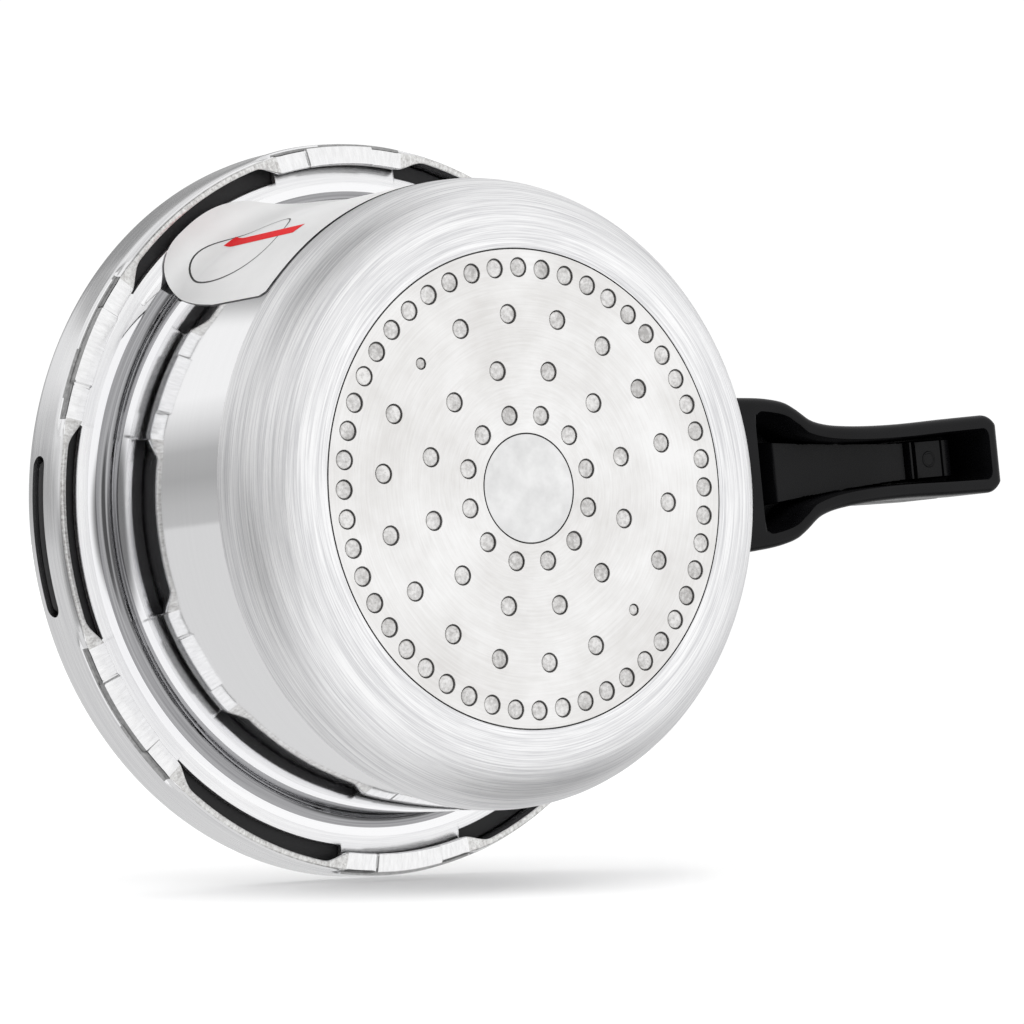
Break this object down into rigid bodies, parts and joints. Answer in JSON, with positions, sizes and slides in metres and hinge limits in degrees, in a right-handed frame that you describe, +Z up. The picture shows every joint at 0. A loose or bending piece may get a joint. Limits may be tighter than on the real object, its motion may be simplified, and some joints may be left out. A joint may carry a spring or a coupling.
{
  "type": "stovetop pressure cooker",
  "caption": "Small outer-lid pressure pan with a perforated induction base, a bayonet lid that turns and lifts off, two stacked handles and a lift-off weight valve.",
  "frame": {"origin": "centre of the flat base, on the pan's axis, where the cooker rests on a hob", "axes": "+Z up the pan's axis towards the lid, +X out along the two handles"},
  "size_m": [0.34, 0.216, 0.1505],
  "materials": {
    "polished_aluminium": "mirror polished wall, flange and lid, brushed base border",
    "disc_steel": "satin pressed steel",
    "label_foil": "silver foil label",
    "bracket_steel": "zinc plated steel",
    "rivet_aluminium": "satin",
    "black_bakelite": "satin moulded phenolic",
    "gasket_rubber": "matt black rubber",
    "vent_steel": "turned stainless steel",
    "brass": "turned brass",
    "weight_steel": "polished stainless steel",
    "fusible_alloy": "dull cast alloy",
    "fibre_seal": "red fibre washer"
  },
  "bodies": {
    "pan": {"pan_body": "polished_aluminium", "base_disc": "disc_steel", "body_label": "label_foil", "pan_bracket": "bracket_steel", "pan_rivets": "rivet_aluminium", "pan_handle": "black_bakelite", "pan_handle_screw": "bracket_steel", "pan_handle_nut": "bracket_steel"},
    "gasket": {"gasket": "gasket_rubber"},
    "lid": {"lid": "polished_aluminium", "lid_bracket": "bracket_steel", "lid_rivets": "rivet_aluminium", "lid_handle": "black_bakelite", "lid_handle_screw": "bracket_steel", "lid_handle_nut": "bracket_steel", "vent_tube": "vent_steel", "vent_washer": "fibre_seal", "vent_nut": "brass", "safety_valve": "brass", "fusible_plug": "fusible_alloy", "safety_washer": "fibre_seal", "safety_nut": "brass"},
    "weight": {"weight_body": "weight_steel", "weight_needle": "vent_steel", "weight_cap": "black_bakelite"}
  },
  "joints": [
    {"name": "lid_lift", "type": "slide", "parent": "pan", "child": "gasket", "axis": [0, 0, 1], "range_m": [0, 0.07]},
    {"name": "lid_turn", "type": "hinge", "parent": "gasket", "child": "lid", "pos_m": [0, 0, 0.08], "axis": [0, 0, 1], "range_deg": [0, 30]},
    {"name": "weight_lift", "type": "slide", "parent": "lid", "child": "weight", "axis": [0, 0, 1], "range_m": [0, 0.024]}
  ]
}
